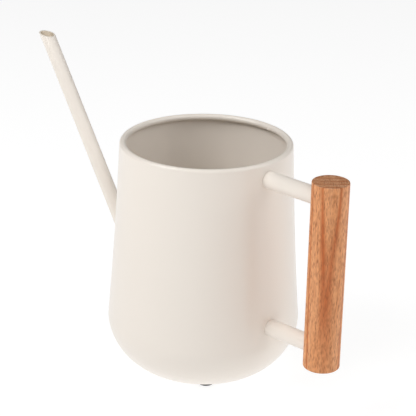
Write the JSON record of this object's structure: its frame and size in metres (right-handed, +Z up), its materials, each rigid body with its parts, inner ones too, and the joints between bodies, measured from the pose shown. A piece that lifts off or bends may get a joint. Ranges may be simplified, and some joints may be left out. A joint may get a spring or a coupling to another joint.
{
  "type": "watering can",
  "caption": "Small indoor watering can: tapered round pot with a curled lip, a long thin straight spout and an upright round wooden grip on two short stubs.",
  "frame": {"origin": "on the floor, under the centre of the can's overall box; the pot's own axis stands 21.7 mm towards the handle from it", "axes": "+Z up; +X towards the handle, with the spout towards -X; +Y to the left when looking along +X"},
  "size_m": [0.2368, 0.1042, 0.1607],
  "materials": {
    "cream_coat": "smooth semi-gloss powder coat, warm off-white, on sheet steel",
    "beech": "oiled steamed beech, turned and lightly sanded",
    "black_rubber": "matt black stick-on bumper"
  },
  "bodies": {
    "root": {"body_wall": "cream_coat", "base_pan": "cream_coat", "spout_tube": "cream_coat", "upper_handle_stub": "cream_coat", "lower_handle_stub": "cream_coat", "handle_grip": "beech", "foot_handle_left": "black_rubber", "foot_handle_right": "black_rubber", "foot_spout_left": "black_rubber", "foot_spout_right": "black_rubber"}
  },
  "joints": []
}
